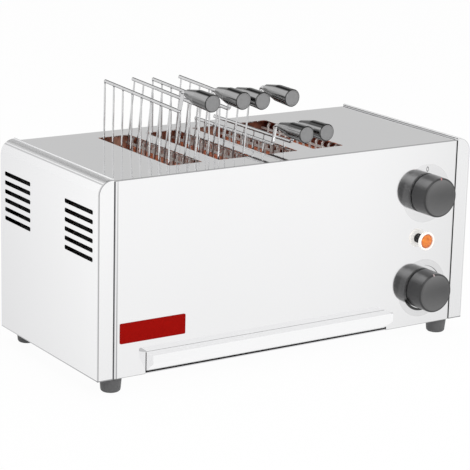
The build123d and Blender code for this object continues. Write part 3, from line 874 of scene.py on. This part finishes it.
def makeHeaterWire():
    # one wound coil, copied into each quartz tube
    coil = {
        "radius": 0.0026, "wire": 0.00042, "pitch": 0.0032, "steps": 10, "sides": 5, "end": 0.006,
        "drops": (0.020, 0.070, 0.120),
    }
    centres = []
    for n in range(1, 6):
        low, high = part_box(f"quartz_tubes_{n}")
        centres += [((low.x + high.x) / 2, plateHigh.z - drop) for drop in coil["drops"]]
    low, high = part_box("quartz_tubes_1")
    start, length = low.y + coil["end"], high.y - low.y - 2 * coil["end"]
    deselect()
    bpy.ops.mesh.primitive_circle_add(
        vertices=coil["sides"], radius=coil["wire"], fill_type="NOTHING", location=(coil["radius"], 0.0, 0.0),
    )
    profile = bpy.context.object
    settle(profile)
    screw = profile.modifiers.new("winding", "SCREW")
    screw.axis = "Y"
    screw.screw_offset = coil["pitch"]
    screw.iterations = int(length / coil["pitch"])
    screw.steps = coil["steps"]
    screw.render_steps = coil["steps"]
    screw.use_smooth_shade = True
    bpy.ops.object.modifier_apply(modifier="winding")
    copies = []
    for x, z in centres:
        copy = bpy.data.objects.new("heater_wire", profile.data.copy())
        bpy.context.scene.collection.objects.link(copy)
        copy.location = (x, start, z)
        copies.append(copy)
    bpy.data.objects.remove(profile)
    deselect()
    for copy in copies:
        copy.select_set(True)
    bpy.context.view_layer.objects.active = copies[0]
    bpy.ops.object.transform_apply(location=True, rotation=True, scale=True)
    bpy.ops.object.join()
    wound = bpy.context.object
    keepOnly(wound)
    bpy.ops.object.mode_set(mode="EDIT")
    bpy.ops.mesh.select_all(action="SELECT")
    bpy.ops.mesh.normals_make_consistent(inside=False)
    leaveEdit()
    finishPiece(wound, "heater_wire", finishes["element"], "case")
    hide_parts("heating_coils")
    print("coils", len(centres), "faces", len(wound.data.polygons))


makeBadge()
makePointers()
makeLens()
makeSeam()
makeSleeve()
makeCapRims()
makeHeaterWire()
print("pieces made")


# Studio

def makeFloor():
    # white in the picture; behind the case it is darker in mirror rays, which gives the wires their edges
    floor = {
        "size": 14.0, "tone": (0.93, 0.93, 0.93), "glow": 0.96, "rear": 0.35, "left": -0.12, "dark": 0.25,
        "fade": 4.0,
    }
    deselect()
    bpy.ops.mesh.primitive_plane_add(size=floor["size"], location=(0.0, 0.0, 0.0))
    plane = bpy.context.object
    plane.name = "studio_floor"
    shade = newShade("floorPaper")
    camera, glossy, clear = shade.rays()
    paper = shade.node("ShaderNodeBsdfDiffuse", {}, {"Color": floor["tone"], "Roughness": 0.0})
    across, depth = shade.split(shade.place())[:2]
    behind = shade.clip((depth - floor["rear"]) * floor["fade"])
    behind = behind * shade.clip((across - floor["left"]) * floor["fade"])
    tone = shade.mix(behind * glossy, (1.0, 1.0, 1.0), (floor["dark"],) * 3)
    glow = shade.node("ShaderNodeEmission", {}, {"Color": tone, "Strength": 1.0})
    seen = shade.clip(camera + glossy + clear) * floor["glow"]
    blend = shade.node("ShaderNodeMixShader", {}, {0: seen, 1: paper, 2: glow})
    shade.node("ShaderNodeOutputMaterial", {}, {"Surface": blend})
    plane.data.materials.append(shade.owner)


def makeWorld():
    # even light; mirror rays to the right and behind meet a grey wall with a dark band
    sky = {"light": 0.62, "wall": (0.60,) * 3, "band": (0.13,) * 3, "top": (0.9, 0.9, 0.9)}
    places = (0.0, 0.40, 0.50, 0.80, 0.95)
    tones = (sky["wall"], sky["wall"], sky["band"], sky["band"], sky["top"])
    white = (1.0, 1.0, 1.0)
    shade = Shade(bpy.data.worlds.new("studio"))
    bpy.context.scene.world = shade.owner
    camera, glossy, clear = shade.rays()
    across, depth, height = shade.split(shade.node("ShaderNodeTexCoord", out=0))
    wall = shade.node("ShaderNodeValToRGB", {"stops": list(zip(places, tones))}, {"Fac": height})
    behind = shade.clip(depth * 3.0 + 0.2)
    right = shade.clip(across * 14.0 - 0.2)
    above = shade.clip(height * 30.0)
    lit = shade.mix(behind * right * above, white, wall)
    shown = shade.mix(camera, lit, white)
    plain = shade.node("ShaderNodeBackground", {}, {"Color": white, "Strength": sky["light"]})
    mirror = shade.node("ShaderNodeBackground", {}, {"Color": shown, "Strength": 1.0})
    seen = shade.clip(camera + glossy + clear)
    both = shade.node("ShaderNodeMixShader", {}, {0: seen, 1: plain, 2: mirror})
    shade.node("ShaderNodeOutputWorld", {}, {"Surface": both})


def makeLamps():
    lamps = [
        {"name": "keyLamp", "place": (-0.3, -2.3, 1.7), "size": 1.5, "power": 24.0},
        {"name": "fillLamp", "place": (2.0, -1.2, 1.5), "size": 1.6, "power": 8.0},
        {"name": "topLamp", "place": (0.1, 0.5, 2.6), "size": 1.5, "power": 12.0},
    ]
    target = Vector((0.0, 0.0, 0.12))        # the middle of the case
    for lamp in lamps:
        data = bpy.data.lights.new(lamp["name"], "AREA")
        data.shape = "SQUARE"
        data.size = lamp["size"]
        data.energy = lamp["power"]
        light = bpy.data.objects.new(lamp["name"], data)
        bpy.context.scene.collection.objects.link(light)
        light.location = lamp["place"]
        light.rotation_euler = (target - light.location).to_track_quat("-Z", "Y").to_euler()


def makeCamera():
    # where the photograph was taken from, solved from the case's edges
    view = {
        "place": (-1.2149, -1.83145, 0.7091), "right": (0.838, -0.5451, 0.025),
        "ahead": (0.5323, 0.8065, -0.2574), "lens": 149.153, "sensor": 36.0, "shift": (-0.00913, 0.00564),
        "far": 60.0,
    }
    ahead = Vector(view["ahead"]).normalized()
    right = Vector(view["right"])
    right = (right - ahead * right.dot(ahead)).normalized()
    up = right.cross(ahead)
    data = bpy.data.cameras.new("photoCamera")
    data.lens = view["lens"]
    data.sensor_width = view["sensor"]
    data.shift_x, data.shift_y = view["shift"]
    data.clip_end = view["far"]
    camera = bpy.data.objects.new("photoCamera", data)
    bpy.context.scene.collection.objects.link(camera)
    turn = Matrix((right, up, -ahead)).transposed().to_4x4()
    camera.matrix_world = Matrix.Translation(view["place"]) @ turn
    bpy.context.scene.camera = camera


makeFloor()
makeWorld()
makeLamps()
makeCamera()
bpy.context.scene.view_settings.view_transform = "Standard"
print("studio ready")
